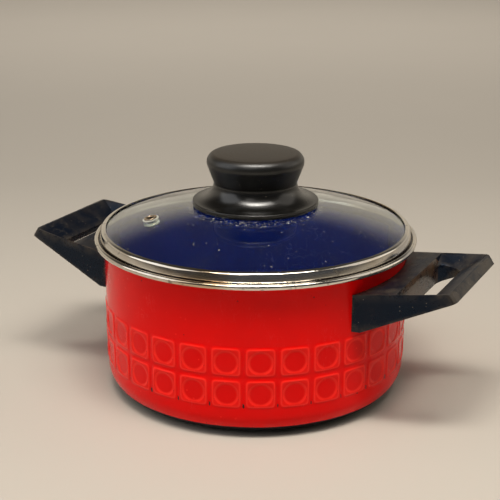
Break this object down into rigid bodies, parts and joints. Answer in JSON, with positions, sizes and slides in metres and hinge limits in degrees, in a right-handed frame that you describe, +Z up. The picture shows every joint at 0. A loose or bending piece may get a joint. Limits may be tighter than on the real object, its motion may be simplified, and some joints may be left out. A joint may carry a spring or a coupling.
{
  "type": "saucepan with glass lid",
  "caption": "Enamelled saucepan with side loop handles, a steel rim band and a lift-off domed glass lid with a round knob and a steam vent.",
  "frame": {"origin": "centre of the pot's flat base, on the surface it stands on", "axes": "+Z up along the pot's axis and the way the lid lifts, +X through the middle of the right handle"},
  "size_m": [0.276, 0.1948, 0.1434],
  "materials": {
    "enamel": "glossy vitreous enamel, red outside and navy inside",
    "polished_steel": "polished stainless steel",
    "handle_bakelite": "worn satin bakelite",
    "knob_bakelite": "satin to glossy bakelite",
    "plated_steel": "zinc plated",
    "lid_glass": "clear tempered glass",
    "insert_brass": "turned brass",
    "silicone": "translucent grey silicone"
  },
  "bodies": {
    "pot": {"pot_body": "enamel", "rim_band": "polished_steel", "right_handle": "handle_bakelite", "right_handle_lug": "plated_steel", "right_handle_screw": "plated_steel", "right_handle_washer": "plated_steel", "right_handle_nut": "plated_steel", "left_handle": "handle_bakelite", "left_handle_lug": "plated_steel", "left_handle_screw": "plated_steel", "left_handle_washer": "plated_steel", "left_handle_nut": "plated_steel"},
    "lid": {"lid_glass": "lid_glass", "lid_band": "polished_steel", "vent_eyelet": "polished_steel", "vent_washer_top": "silicone", "vent_washer_bottom": "silicone", "knob_grip": "knob_bakelite", "knob_skirt": "knob_bakelite", "knob_insert": "insert_brass", "knob_screw": "plated_steel", "knob_washer": "polished_steel", "knob_gasket_upper": "silicone", "knob_gasket_lower": "silicone"}
  },
  "joints": [
    {"name": "lid_lift", "type": "slide", "parent": "pot", "child": "lid", "axis": [0, 0, 1], "range_m": [0, 0.15]}
  ]
}
